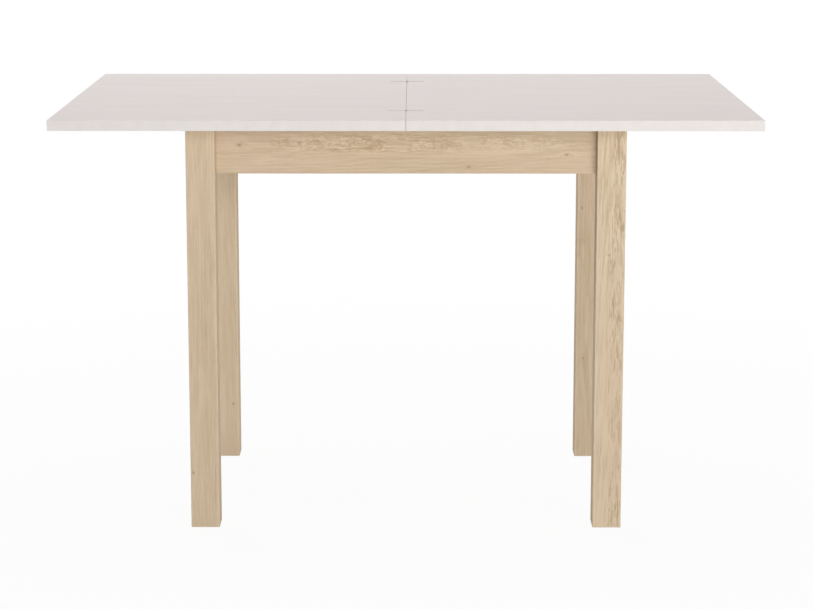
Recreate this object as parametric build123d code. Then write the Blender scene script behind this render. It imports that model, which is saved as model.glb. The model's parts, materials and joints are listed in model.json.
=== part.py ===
from build123d import *
import os
from math import sqrt

# Turn-and-fold dining table, in millimetres. The origin is on the floor under the middle of the
# open top, +X runs along the open top and +Y to the rear. It is modelled open: the turning leaf
# is at +X, the folding leaf at -X. Turned a quarter and folded, the top covers the base evenly.

# Table top
half_length = 600.0  # one leaf, from the seam to its outer edge
leaf_width = 800.0
leaf_thickness = 18.0
top_height = 740.0
seam_gap = 0.3
edging_thickness = 1.0
edging_round = 0.8
edging_flat = 0.1  # of the strip's thickness that its rounding leaves
closed_overhang = 20.0  # of the folded top beyond the legs, on all sides

# Legs and aprons
leg_side = 50.0
leg_edge_round = 1.0
leg_foot_bevel = 1.0
leg_flat_depth = 7.0  # planed off the inner corner, behind the corner bracket
apron_height = 88.0
apron_thickness = 20.0
apron_setback = 14.0  # of the apron's face behind the legs' outer face
apron_edge_round = 1.0
dowel_radius = 4.0
dowel_length = 34.0
dowel_spacing = 44.0
dowel_stagger = 10.0  # between the heights of the long and the short aprons' dowels
dowel_end_gap = 1.0
glide_radius = 14.0
glide_thickness = 2.0
glide_stem_radius = 3.0
glide_stem_length = 14.0

# Felt pads that carry the leaves on the aprons
pad_length = 60.0
pad_width = 12.0
pad_thickness = 2.0
long_apron_pad_place = 220.0
short_apron_pad_place = 120.0

# Corner brackets and hanger bolts
bracket_thickness = 2.0
bracket_height = 60.0
bracket_wing = 28.0
bracket_bend_radius = 2.0
bracket_standoff = 18.0  # from the leg's planed corner to the bracket
bracket_hook = 8.0  # depth of the wing's hooked end in the apron
hanger_bolt_radius = 4.0
hanger_bolt_depth = 40.0  # in the leg
hanger_bolt_tail = 4.0
hanger_washer_radius = 9.0
hanger_washer_thickness = 1.6
hanger_nut_width = 13.0
hanger_nut_height = 6.5

# Rail that carries the pivot, and its angle brackets
rail_width = 80.0
rail_thickness = 22.0
rail_bracket_width = 60.0
rail_bracket_flange = 40.0
rail_bracket_thickness = 2.5
rail_bracket_bend_radius = 2.0
rail_bracket_screw_place = 26.0  # along each flange
rail_bracket_screw_spacing = 36.0

# Pan head screws of the rail brackets
pan_screw_radius = 2.0
pan_screw_length = 15.0
pan_head_radius = 4.0
pan_head_height = 2.2

# Pivot of the turning leaf
pivot_plate_side = 80.0
pivot_plate_thickness = 3.0
pivot_plate_corner = 8.0
pivot_plate_screw_place = 30.0  # from the pivot's axis, both ways
pivot_screw_radius = 2.0
pivot_screw_length = 15.0
pivot_screw_head_radius = 4.0
pivot_bolt_radius = 5.0
pivot_bolt_head_radius = 10.0
pivot_bolt_head_height = 4.0
pivot_bolt_tail = 4.0
bush_body_radius = 8.0
bush_flange_radius = 18.0
bush_flange_thickness = 2.0
pivot_washer_radius = 15.0
pivot_washer_thickness = 2.5
spring_washer_radius = 12.0
spring_washer_thickness = 0.9
spring_washer_rise = 1.1
lock_nut_width = 17.0
lock_nut_height = 10.0
lock_nut_collar_radius = 7.0
lock_nut_collar_height = 2.5
stop_peg_radius = 8.0
stop_peg_drop = 22.0  # below the leaf
stop_peg_seat = 10.0  # inside the leaf
stop_peg_chamfer = 1.0

# Hinges between the leaves
hinge_inset = 150.0  # from the leaf's front or rear edge to the hinge's middle
hinge_width = 18.0
hinge_reach = 32.0  # from the pin's axis to the plate's end
hinge_plate_thickness = 1.5
hinge_plate_corner = 3.0
hinge_pin_radius = 1.0
hinge_pin_rise = 0.2  # of the pin's axis above the top
knuckle_radius = 1.9
knuckle_count = 3
knuckle_gap = 0.3
hinge_screw_radius = 1.6
hinge_screw_length = 13.0
hinge_screw_head_radius = 2.9
hinge_screw_near = 12.0  # from the pin's axis to the single screw
hinge_screw_far = 25.0  # from the pin's axis to the pair
hinge_screw_spacing = 8.0  # of the pair

# Clearances
snug_fit = 0.05  # around pins, screws and dowels that are fixed in place
running_fit = 0.06  # around the pivot bolt and the hinge pins
running_gap = 0.3  # between faces that pass each other
pocket_fit = 0.1  # around let-in plates and heads, and in the saw kerfs
bolt_hole_fit = 0.5
screw_hole_fit = 0.25
stop_clearance = 0.4

# Heights
leaf_underside = top_height - leaf_thickness
apron_top = leaf_underside - pad_thickness
apron_bottom = apron_top - apron_height
apron_middle = (apron_top + apron_bottom) / 2
rail_top = leaf_underside - pivot_plate_thickness - running_gap - bush_flange_thickness
rail_bottom = rail_top - rail_thickness
hinge_plate_bottom = top_height - hinge_plate_thickness
hinge_pin_height = top_height + hinge_pin_rise

# Places of the base's pieces, at the right rear corner
base_half_x = leaf_width / 2 - closed_overhang
base_half_y = half_length / 2 - closed_overhang
leg_inner_x = base_half_x - leg_side
leg_inner_y = base_half_y - leg_side
apron_outer_x = base_half_x - apron_setback
apron_outer_y = base_half_y - apron_setback
apron_inner_x = apron_outer_x - apron_thickness
apron_inner_y = apron_outer_y - apron_thickness
apron_middle_x = (apron_outer_x + apron_inner_x) / 2
apron_middle_y = (apron_outer_y + apron_inner_y) / 2

# A quarter turn about this point, the same in x and y, centres the turning leaf over the base
pivot_place = half_length / 4
hinge_place = leaf_width / 2 - hinge_inset
stop_peg_y = -(apron_inner_y - stop_peg_radius - stop_clearance)
stop_peg_x = 2 * pivot_place + stop_peg_y

UPRIGHT = (Align.CENTER, Align.CENTER, Align.MIN)
SIDES = (-1, 1)
CORNERS = {"front_left": (-1, -1), "front_right": (1, -1), "rear_left": (-1, 1), "rear_right": (1, 1)}


def block(low, high):
    """Box between two opposite corners."""
    size = [end - start for start, end in zip(low, high)]
    middle = [(start + end) / 2 for start, end in zip(low, high)]
    return Pos(*middle) * Box(*size)


def rod(radius, start, end):
    """Round bar along Z between two heights."""
    return Pos(0, 0, start) * Cylinder(radius, end - start, align=UPRIGHT)


def ring(radius, bore_radius, start, end):
    """Flat ring round Z between two heights."""
    return rod(radius, start, end) - rod(bore_radius, start, end)


def hex_nut(width, bore_radius, start, end):
    """Hexagon nut round Z between two heights."""
    hexagon = RegularPolygon(width / 2, 6, major_radius=False)
    return Pos(0, 0, start) * extrude(hexagon, end - start) - rod(bore_radius, start, end)


def bent_sheet(outer_points, inner_points, bend_radius, thickness):
    """Section of a bent sheet, from the corner points of its outer and inner side."""
    outer = FilletPolyline(*outer_points, radius=bend_radius + thickness)
    inner = FilletPolyline(*inner_points, radius=bend_radius)
    return make_face([outer, inner, Line(outer @ 0, inner @ 0), Line(outer @ 1, inner @ 1)])


def at_corner(piece, side_x, side_y):
    """Piece of the right rear corner, reflected to another corner."""
    if side_x < 0:
        piece = mirror(piece, about=Plane.YZ)
    if side_y < 0:
        piece = mirror(piece, about=Plane.XZ)
    return piece


def at_all_corners(pieces):
    """Pieces of the right rear corner, at all four corners."""
    return [at_corner(piece, *sides) for piece in pieces for sides in CORNERS.values()]


def pan_screw():
    """Pan head wood screw along Z, with its head's underside at zero."""
    return rod(pan_head_radius, 0, pan_head_height) + rod(pan_screw_radius, -pan_screw_length, 0)


def pan_screw_hole():
    """Hole for a pan head screw's shank, through the sheet and into the wood."""
    return rod(pan_screw_radius + snug_fit, -pan_screw_length - snug_fit, 0)


def countersunk_screw(radius, length, head_radius, grow=0.0):
    """Countersunk screw along Z, with its flat head at zero. A grown copy cuts its hole."""
    cone_height = head_radius - radius
    head = Pos(0, 0, -cone_height) * Cone(radius + grow, head_radius + grow, cone_height, align=UPRIGHT)
    return head + rod(radius + grow, -length - grow, -cone_height)


# Joints at the right rear corner of the base


def dowel_places():
    """Frames at the faces where apron meets leg, with Z along the dowel."""
    places = []
    for lift in (-dowel_spacing / 2, dowel_spacing / 2):
        long_height = apron_middle + dowel_stagger / 2 + lift
        short_height = apron_middle - dowel_stagger / 2 + lift
        places.append(Plane((leg_inner_x, apron_middle_y, long_height), z_dir=(1, 0, 0)))
        places.append(Plane((apron_middle_x, leg_inner_y, short_height), z_dir=(0, 1, 0)))
    return places


def dowel():
    """Fluteless beech dowel, half in the apron and half in the leg."""
    return rod(dowel_radius, -dowel_length / 2, dowel_length / 2)


def dowel_hole():
    """Hole for a dowel in both pieces."""
    reach = dowel_length / 2 + dowel_end_gap
    return rod(dowel_radius + snug_fit, -reach, reach)


leg_centre = Pos(base_half_x - leg_side / 2, base_half_y - leg_side / 2, 0)
glide_top = glide_thickness + glide_stem_length
leg_flat_step = leg_flat_depth / sqrt(2)
leg_nook = (apron_inner_x - leg_inner_x) * sqrt(2)  # leg corner to the aprons' inner corner
bracket_span = (leg_nook - leg_flat_depth + bracket_standoff) * sqrt(2)
bracket_face = bracket_standoff + bracket_thickness
hanger_washer_face = bracket_face + hanger_washer_thickness
hanger_nut_face = hanger_washer_face + hanger_nut_height
hanger_bolt_place = Plane(
    (leg_inner_x + leg_flat_step, leg_inner_y + leg_flat_step, apron_middle), z_dir=(-1, -1, 0)
)


def hook(grow, low, high):
    """Hooked end of the bracket's wing on the long apron; a grown copy cuts its saw kerf."""
    wing_end = apron_inner_x - bracket_span - bracket_wing
    near = (wing_end - grow, apron_inner_y - bracket_thickness, low)
    return block(near, (wing_end + bracket_thickness + grow, apron_inner_y + bracket_hook + grow, high))


def both_wings(piece):
    """Piece on the long apron and its reflection on the short one."""
    corner_diagonal = Plane((apron_inner_x, apron_inner_y, 0), z_dir=(1, -1, 0))
    return [piece, mirror(piece, about=corner_diagonal)]


def corner_holes():
    """Dowel holes and bracket kerfs in the wood of one corner."""
    holes = [place * dowel_hole() for place in dowel_places()]
    return holes + both_wings(hook(pocket_fit, apron_bottom, apron_top))


def foot_bevel():
    """What the bevel takes off the leg's lower edges, standing on zero."""
    foot_side = leg_side - 2 * leg_foot_bevel
    foot = extrude(Rectangle(foot_side, foot_side), leg_foot_bevel, taper=-45)
    return Box(leg_side, leg_side, leg_foot_bevel, align=UPRIGHT) - foot


def leg():
    """Square leg with its planed inner corner and the holes for its fastenings."""
    post = block((leg_inner_x, leg_inner_y, glide_thickness), (base_half_x, base_half_y, apron_top))
    post = fillet(post.edges().filter_by(Axis.Z), leg_edge_round)
    post -= leg_centre * Pos(0, 0, glide_thickness) * foot_bevel()
    planing = Rot(0, 0, 45) * Box(2 * leg_flat_depth, 4 * leg_flat_depth, apron_height)
    post -= Pos(leg_inner_x, leg_inner_y, apron_middle) * planing
    post -= hanger_bolt_place * rod(hanger_bolt_radius + snug_fit, -hanger_bolt_depth - snug_fit, 0)
    post -= leg_centre * rod(glide_stem_radius + snug_fit, 0, glide_top + snug_fit)
    return post - corner_holes()


def leg_glide():
    """Round glide under the leg, with its stem."""
    return leg_centre * (rod(glide_radius, 0, glide_thickness) + rod(glide_stem_radius, 0, glide_top))


def corner_bracket():
    """Bent steel plate across the corner, with wings that hook into both aprons."""
    inner_span = bracket_span + bracket_thickness * (sqrt(2) - 1)
    wing_end = bracket_span + bracket_wing
    outer_side = [(wing_end, 0), (bracket_span, 0), (0, bracket_span), (0, wing_end)]
    inner_side = [
        (wing_end, bracket_thickness),
        (inner_span, bracket_thickness),
        (bracket_thickness, inner_span),
        (bracket_thickness, wing_end),
    ]
    section = bent_sheet(outer_side, inner_side, bracket_bend_radius, bracket_thickness)
    plate = Rot(0, 0, 180) * extrude(section, bracket_height)
    plate = Pos(apron_inner_x, apron_inner_y, apron_middle - bracket_height / 2) * plate
    plate += both_wings(hook(0, apron_middle - bracket_height / 2, apron_middle + bracket_height / 2))
    return plate - hanger_bolt_place * rod(hanger_bolt_radius + bolt_hole_fit, 0, hanger_nut_face)


def hanger_bolt():
    """Bolt that holds the leg to its corner bracket."""
    tail_end = hanger_nut_face + hanger_bolt_tail
    return hanger_bolt_place * rod(hanger_bolt_radius, -hanger_bolt_depth, tail_end)


def hanger_washer():
    """Washer on the bracket."""
    bore = hanger_bolt_radius + snug_fit
    return hanger_bolt_place * ring(hanger_washer_radius, bore, bracket_face, hanger_washer_face)


def hanger_nut():
    """Nut on the washer."""
    bore = hanger_bolt_radius + snug_fit
    return hanger_bolt_place * hex_nut(hanger_nut_width, bore, hanger_washer_face, hanger_nut_face)


# Aprons, pads and pivot rail


def rail_screw_places():
    """Frames on the rear rail bracket's two flanges, with Z out of the wood."""
    places = []
    for shift in (-rail_bracket_screw_spacing / 2, rail_bracket_screw_spacing / 2):
        x = pivot_place + shift
        under_rail = (x, apron_inner_y - rail_bracket_screw_place, rail_bottom - rail_bracket_thickness)
        on_apron = (x, apron_inner_y - rail_bracket_thickness, rail_bottom - rail_bracket_screw_place)
        places.append(Plane(under_rail, z_dir=(0, 0, -1)))
        places.append(Plane(on_apron, z_dir=(0, -1, 0)))
    return places


def rail_holes():
    """Screw holes for the rear rail bracket, in the rail and the apron."""
    return [place * pan_screw_hole() for place in rail_screw_places()]


def rounded_apron(low, high, length_axis):
    """Apron board with its two lower edges eased."""
    board = block(low, high)
    lower_edges = board.edges().filter_by(length_axis).group_by(Axis.Z)[0]
    return fillet(lower_edges, apron_edge_round)


def long_apron():
    """Rear apron, between the two rear legs."""
    low = (-leg_inner_x, apron_inner_y, apron_bottom)
    high = (leg_inner_x, apron_outer_y, apron_top)
    holes = [at_corner(hole, side, 1) for hole in corner_holes() for side in SIDES]
    return rounded_apron(low, high, Axis.X) - holes - rail_holes()


def short_apron():
    """Right apron, between the two right legs."""
    low = (apron_inner_x, -leg_inner_y, apron_bottom)
    high = (apron_outer_x, leg_inner_y, apron_top)
    holes = [at_corner(hole, 1, side) for hole in corner_holes() for side in SIDES]
    return rounded_apron(low, high, Axis.Y) - holes


def slide_pads():
    """Felt strips on top of the right and the rear apron, for one corner."""
    along_x = Pos(long_apron_pad_place, apron_middle_y, apron_top)
    along_y = Pos(apron_middle_x, short_apron_pad_place, apron_top)
    return [
        along_x * Box(pad_length, pad_width, pad_thickness, align=UPRIGHT),
        along_y * Box(pad_width, pad_length, pad_thickness, align=UPRIGHT),
    ]


pivot = Pos(pivot_place, pivot_place, 0)


def pivot_rail():
    """Rail between the long aprons, bored for the pivot bush."""
    low = (pivot_place - rail_width / 2, -apron_inner_y, rail_bottom)
    high = (pivot_place + rail_width / 2, apron_inner_y, rail_top)
    rail = block(low, high) - pivot * rod(bush_body_radius + snug_fit, rail_bottom, rail_top)
    holes = [at_corner(hole, 1, side) for hole in rail_holes() for side in SIDES]
    return rail - holes


def rail_bracket():
    """Steel angle under the rail's rear end, against the rear apron."""
    near_y = apron_inner_y - rail_bracket_thickness
    near_z = rail_bottom - rail_bracket_thickness
    end_y = apron_inner_y - rail_bracket_flange
    end_z = rail_bottom - rail_bracket_flange
    outer_side = [(apron_inner_y, end_z), (apron_inner_y, rail_bottom), (end_y, rail_bottom)]
    inner_side = [(near_y, end_z), (near_y, near_z), (end_y, near_z)]
    section = bent_sheet(outer_side, inner_side, rail_bracket_bend_radius, rail_bracket_thickness)
    angle = extrude(Plane.YZ.offset(pivot_place) * section, rail_bracket_width / 2, both=True)
    screw_hole = rod(pan_screw_radius + screw_hole_fit, -rail_bracket_thickness, 0)
    return angle - [place * screw_hole for place in rail_screw_places()]


def pivot_bush():
    """Flanged nylon bush in the rail."""
    bush_top = rail_top + bush_flange_thickness
    solid = rod(bush_body_radius, rail_bottom, rail_top) + rod(bush_flange_radius, rail_top, bush_top)
    return pivot * (solid - rod(pivot_bolt_radius + running_fit, rail_bottom, bush_top))


# Pivot pieces that turn with the leaf

washer_top = rail_bottom - running_gap
washer_bottom = washer_top - pivot_washer_thickness
nut_top = washer_bottom - spring_washer_rise - spring_washer_thickness
nut_bottom = nut_top - lock_nut_height
bolt_bore = pivot_bolt_radius + snug_fit


def pivot_screw_places():
    """Frames on the pivot plate's underside, with Z downwards."""
    height = leaf_underside - pivot_plate_thickness
    offsets = (-pivot_plate_screw_place, pivot_plate_screw_place)
    spots = [(pivot_place + dx, pivot_place + dy, height) for dx in offsets for dy in offsets]
    return [Plane(spot, z_dir=(0, 0, -1)) for spot in spots]


def pivot_screw(grow=0.0):
    """Countersunk screw of the pivot plate."""
    return countersunk_screw(pivot_screw_radius, pivot_screw_length, pivot_screw_head_radius, grow)


def pivot_plate():
    """Steel plate under the turning leaf, which holds the pivot bolt's head."""
    plate = Box(pivot_plate_side, pivot_plate_side, pivot_plate_thickness, align=UPRIGHT)
    plate = fillet(plate.edges().filter_by(Axis.Z), pivot_plate_corner)
    plate = Pos(pivot_place, pivot_place, leaf_underside - pivot_plate_thickness) * plate
    plate -= pivot * rod(bolt_bore, leaf_underside - pivot_plate_thickness, leaf_underside)
    return plate - [place * pivot_screw(snug_fit) for place in pivot_screw_places()]


def pivot_bolt():
    """Bolt with a flat round head on the pivot plate, down through the rail."""
    head = rod(pivot_bolt_head_radius, leaf_underside, leaf_underside + pivot_bolt_head_height)
    return pivot * (head + rod(pivot_bolt_radius, nut_bottom - pivot_bolt_tail, leaf_underside))


def pivot_washer():
    """Washer under the rail."""
    return pivot * ring(pivot_washer_radius, bolt_bore, washer_bottom, washer_top)


def pivot_spring_washer():
    """Coned spring washer between the flat washer and the nut."""
    rim_bottom = washer_bottom - spring_washer_thickness
    section = Polyline(
        (bolt_bore, nut_top),
        (spring_washer_radius, rim_bottom),
        (spring_washer_radius, washer_bottom),
        (bolt_bore, nut_top + spring_washer_thickness),
        close=True,
    )
    return pivot * revolve(Plane.XZ * make_face(section), Axis.Z)


def pivot_lock_nut():
    """Lock nut with a round collar at its lower end."""
    collar_top = nut_bottom + lock_nut_collar_height
    nut = hex_nut(lock_nut_width, bolt_bore, collar_top, nut_top)
    return pivot * (nut + ring(lock_nut_collar_radius, bolt_bore, nut_bottom, collar_top))


def stop_peg():
    """Peg that meets the front apron when the table is open and the rear one when it is closed."""
    peg = rod(stop_peg_radius, leaf_underside - stop_peg_drop, leaf_underside + stop_peg_seat)
    peg = chamfer(peg.edges().group_by(Axis.Z)[0], stop_peg_chamfer)
    return Pos(stop_peg_x, stop_peg_y, 0) * peg


# Hinge pieces, made at y = 0 for the turning leaf and reflected for the folding one

knuckle_length = (hinge_width - (knuckle_count - 1) * knuckle_gap) / knuckle_count
knuckle_step = knuckle_length + knuckle_gap
hinge_places = [Pos(0, side * hinge_place, 0) for side in SIDES]


def along_pin(radius, start, end):
    """Round bar on the hinge pin's axis between two y values."""
    middle = Pos(0, (start + end) / 2, hinge_pin_height)
    return middle * Rot(90, 0, 0) * Cylinder(radius, end - start)


def knuckle_span(index):
    """Start and end of one knuckle along the pin."""
    start = -hinge_width / 2 + index * knuckle_step
    return start, start + knuckle_length


def hinge_outline(grow):
    """Plate from the pin's axis to its rounded end; a grown copy cuts its pocket."""
    half_width = hinge_width / 2 + grow
    low = (0, -half_width, hinge_plate_bottom)
    plate = block(low, (hinge_reach + grow, half_width, top_height))
    end_corners = plate.edges().filter_by(Axis.Z).group_by(Axis.X)[-1]
    return fillet(end_corners, hinge_plate_corner + grow)


def hinge_screw_places():
    """Frames of the three screws on one plate, with Z upwards."""
    spots = [(hinge_screw_near, 0)]
    spots += [(hinge_screw_far, side * hinge_screw_spacing / 2) for side in SIDES]
    return [Pos(x, y, top_height) for x, y in spots]


def hinge_screw(grow=0.0):
    """Countersunk screw of a hinge plate."""
    return countersunk_screw(hinge_screw_radius, hinge_screw_length, hinge_screw_head_radius, grow)


def hinge_plate(first_knuckle):
    """Plate with every second knuckle, cleared for the other plate's knuckles."""
    plate = hinge_outline(0)
    for index in range(1 - first_knuckle, knuckle_count, 2):
        start, end = knuckle_span(index)
        plate -= along_pin(knuckle_radius + running_gap, start - knuckle_gap, end + knuckle_gap)
    for index in range(first_knuckle, knuckle_count, 2):
        plate += along_pin(knuckle_radius, *knuckle_span(index))
    plate -= along_pin(hinge_pin_radius + running_fit, -hinge_width / 2, hinge_width / 2)
    return plate - [place * hinge_screw(snug_fit) for place in hinge_screw_places()]


def hinge_pocket():
    """Cuts in a leaf for one plate, its screws and the knuckles."""
    half_width = hinge_width / 2 + pocket_fit
    cuts = [hinge_outline(pocket_fit), along_pin(knuckle_radius + running_gap, -half_width, half_width)]
    return cuts + [place * hinge_screw(snug_fit) for place in hinge_screw_places()]


# Leaves, made at +X for the turning leaf and reflected for the folding one

leaf_low = (seam_gap / 2, -leaf_width / 2, leaf_underside)
leaf_high = (half_length, leaf_width / 2, top_height)
core_low = (leaf_low[0] + edging_thickness, leaf_low[1] + edging_thickness, leaf_underside)
core_high = (leaf_high[0] - edging_thickness, leaf_high[1] - edging_thickness, top_height)


def hinge_pockets():
    """Cuts for both hinges of one leaf."""
    return [place * cut for place in hinge_places for cut in hinge_pocket()]


def leaf_board():
    """Faced board inside its edging, with the hinge pockets."""
    return block(core_low, core_high) - hinge_pockets()


def leaf_edging():
    """Seam, outer, front and rear strips with rounded edges."""
    slab = block(leaf_low, leaf_high)
    rim = slab.edges().filter_by(Axis.Z, reverse=True)
    slab = fillet(rim, min(edging_round, edging_thickness - edging_flat))
    seam = block(leaf_low, (core_low[0], leaf_high[1], top_height))
    outer = block((core_high[0], leaf_low[1], leaf_underside), leaf_high)
    front = block((core_low[0], leaf_low[1], leaf_underside), (core_high[0], core_low[1], top_height))
    rear = block((core_low[0], core_high[1], leaf_underside), (core_high[0], leaf_high[1], top_height))
    strips = [slab & band for band in (seam, outer, front, rear)]
    strips[0] -= hinge_pockets()
    return strips


def turning_leaf_board():
    """Leaf board with the seats of the pivot and the stop peg in its underside."""
    head_top = leaf_underside + pivot_bolt_head_height + pocket_fit
    board = leaf_board() - pivot * rod(pivot_bolt_head_radius + pocket_fit, leaf_underside, head_top)
    board -= [place * pivot_screw(snug_fit) for place in pivot_screw_places()]
    peg_seat = rod(stop_peg_radius + snug_fit, leaf_underside, leaf_underside + stop_peg_seat + snug_fit)
    return board - Pos(stop_peg_x, stop_peg_y, 0) * peg_seat


def folded_side(pieces):
    """Pieces of the turning leaf's side, reflected to the folding leaf's side."""
    return [mirror(piece, about=Plane.YZ) for piece in pieces]


# All pieces by name

nodes = {}
for name, sides in CORNERS.items():
    nodes[name + "_leg"] = [at_corner(leg(), *sides)]
    nodes[name + "_corner_bracket"] = [at_corner(corner_bracket(), *sides)]
nodes["rear_apron"] = [long_apron()]
nodes["front_apron"] = [at_corner(long_apron(), 1, -1)]
nodes["right_apron"] = [short_apron()]
nodes["left_apron"] = [at_corner(short_apron(), -1, 1)]
nodes["apron_dowels"] = at_all_corners([place * dowel() for place in dowel_places()])
nodes["leg_glides"] = at_all_corners([leg_glide()])
nodes["hanger_bolts"] = at_all_corners([hanger_bolt()])
nodes["hanger_bolt_washers"] = at_all_corners([hanger_washer()])
nodes["hanger_bolt_nuts"] = at_all_corners([hanger_nut()])
nodes["slide_pads"] = at_all_corners(slide_pads())

nodes["pivot_rail"] = [pivot_rail()]
nodes["rear_rail_bracket"] = [rail_bracket()]
nodes["front_rail_bracket"] = [at_corner(rail_bracket(), 1, -1)]
rail_screws = [place * pan_screw() for place in rail_screw_places()]
nodes["rail_bracket_screws"] = [at_corner(screw, 1, side) for screw in rail_screws for side in SIDES]
nodes["pivot_bush"] = [pivot_bush()]

nodes["pivot_plate"] = [pivot_plate()]
nodes["pivot_plate_screws"] = [place * pivot_screw() for place in pivot_screw_places()]
nodes["pivot_bolt"] = [pivot_bolt()]
nodes["pivot_washer"] = [pivot_washer()]
nodes["pivot_spring_washer"] = [pivot_spring_washer()]
nodes["pivot_lock_nut"] = [pivot_lock_nut()]
nodes["stop_peg"] = [stop_peg()]

nodes["turning_leaf_board"] = [turning_leaf_board()]
nodes["turning_leaf_edging"] = leaf_edging()
nodes["folding_leaf_board"] = folded_side([leaf_board()])
nodes["folding_leaf_edging"] = folded_side(leaf_edging())

fixed_plates = [place * hinge_plate(0) for place in hinge_places]
folding_plates = folded_side([place * hinge_plate(1) for place in hinge_places])
nodes["front_hinge_fixed_plate"] = [fixed_plates[0]]
nodes["rear_hinge_fixed_plate"] = [fixed_plates[1]]
nodes["front_hinge_folding_plate"] = [folding_plates[0]]
nodes["rear_hinge_folding_plate"] = [folding_plates[1]]
hinge_pin = along_pin(hinge_pin_radius, -hinge_width / 2, hinge_width / 2)
nodes["hinge_pins"] = [place * hinge_pin for place in hinge_places]
plate_screw_places = [hinge * spot for hinge in hinge_places for spot in hinge_screw_places()]
plate_screws = [place * hinge_screw() for place in plate_screw_places]
nodes["fixed_plate_screws"] = plate_screws
nodes["folding_plate_screws"] = folded_side(plate_screws)

os.makedirs("parts", exist_ok=True)
for name, pieces in nodes.items():
    solids = [solid for piece in pieces for solid in piece.solids()]
    export_step(Compound(children=solids), f"parts/{name}.step")
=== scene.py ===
import json
import math
from typing import NamedTuple

import bmesh
import bpy
from mathutils import Matrix, Vector, noise

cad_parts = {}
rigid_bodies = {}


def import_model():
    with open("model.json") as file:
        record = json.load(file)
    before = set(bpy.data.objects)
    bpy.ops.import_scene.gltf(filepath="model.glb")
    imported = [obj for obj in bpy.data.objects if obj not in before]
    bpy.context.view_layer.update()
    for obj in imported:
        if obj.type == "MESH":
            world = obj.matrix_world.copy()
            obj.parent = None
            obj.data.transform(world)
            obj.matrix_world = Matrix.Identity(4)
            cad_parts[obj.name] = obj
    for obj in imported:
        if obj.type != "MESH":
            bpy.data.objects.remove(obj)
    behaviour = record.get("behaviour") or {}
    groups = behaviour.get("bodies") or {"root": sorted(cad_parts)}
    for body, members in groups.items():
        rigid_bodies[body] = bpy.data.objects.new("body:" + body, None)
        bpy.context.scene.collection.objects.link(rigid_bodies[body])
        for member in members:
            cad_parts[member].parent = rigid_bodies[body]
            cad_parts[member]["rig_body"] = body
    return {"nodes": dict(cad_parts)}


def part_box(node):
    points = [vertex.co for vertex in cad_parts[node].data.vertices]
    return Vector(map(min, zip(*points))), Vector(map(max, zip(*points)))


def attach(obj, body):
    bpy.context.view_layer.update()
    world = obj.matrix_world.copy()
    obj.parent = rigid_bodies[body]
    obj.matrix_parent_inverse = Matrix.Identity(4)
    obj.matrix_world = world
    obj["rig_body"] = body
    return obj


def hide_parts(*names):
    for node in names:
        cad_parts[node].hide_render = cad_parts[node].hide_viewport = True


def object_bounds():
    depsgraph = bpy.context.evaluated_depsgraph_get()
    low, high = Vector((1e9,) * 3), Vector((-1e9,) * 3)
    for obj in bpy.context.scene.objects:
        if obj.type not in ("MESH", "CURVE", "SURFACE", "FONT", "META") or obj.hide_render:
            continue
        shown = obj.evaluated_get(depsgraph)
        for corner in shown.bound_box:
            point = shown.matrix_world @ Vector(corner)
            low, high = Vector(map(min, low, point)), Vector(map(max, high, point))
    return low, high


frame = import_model()
cad_low, cad_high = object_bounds()

# Turn-and-fold dining table: pale oak legs and aprons, an off-white faced top in two hinged leaves,
# and the steel, nylon and felt that hold it together. Lengths are in metres unless a name says mm.

MM = 0.001
SAME_POINT = 0.001 * MM
SLIVER = 2 * SAME_POINT  # edges shorter than this are taken out
SMOOTH_ANGLE = math.radians(35)


def paint(red, green, blue):
    """Colour as a paint card gives it, 0 to 255, in the renderer's linear values."""
    shares = (value / 255 for value in (red, green, blue))
    linear = [((s + 0.055) / 1.055) ** 2.4 if s > 0.04045 else s / 12.92 for s in shares]
    return (*linear, 1.0)


OAK_PALE = paint(219, 200, 173)
OAK_DEEP = paint(186, 162, 132)
OAK_ROSY = paint(206, 180, 157)
# Dark colour of the pores, also used for the painted shade at the aprons' ends
OAK_PORE_AND_CORNER_SHADE = paint(142, 113, 84)
OAK_KNOT = paint(122, 94, 68)
OAK_SHEEN = paint(198, 174, 142)
BOARD_WHITE = paint(238, 231, 227)
BOARD_GREY = paint(221, 210, 207)
BOARD_ROSY = paint(233, 216, 216)
BACKING_WHITE = paint(231, 226, 221)
BACKING_GREY = paint(218, 213, 208)
STRIP_WHITE = paint(235, 229, 226)
STRIP_GREY = paint(226, 219, 216)
STRIP_END_CORE_AND_SHADE = paint(206, 198, 199)
NICKEL_LIGHT = paint(219, 215, 210)
NICKEL_DEEP = paint(166, 161, 153)
ZINC_LIGHT = paint(205, 208, 211)
ZINC_DEEP = paint(160, 165, 171)
METAL_RIM = paint(249, 248, 246)
BEECH_PALE = paint(214, 181, 148)
BEECH_DEEP = paint(188, 150, 116)
BEECH_FLECK = paint(150, 108, 76)
NYLON_LIGHT = paint(226, 223, 214)
NYLON_DEEP = paint(211, 207, 196)
FELT_LIGHT = paint(112, 106, 100)
FELT_DEEP = paint(66, 62, 58)
FLOOR_WHITE = paint(243, 243, 241)


# Wiring of materials and effects


NOISE_MIDDLE = 0.5
MIX_COLOUR_INPUTS = (0, 6, 7)  # share, first and second colour, by their places on a Mix node
MIX_COLOUR_OUTPUT = 2


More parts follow.
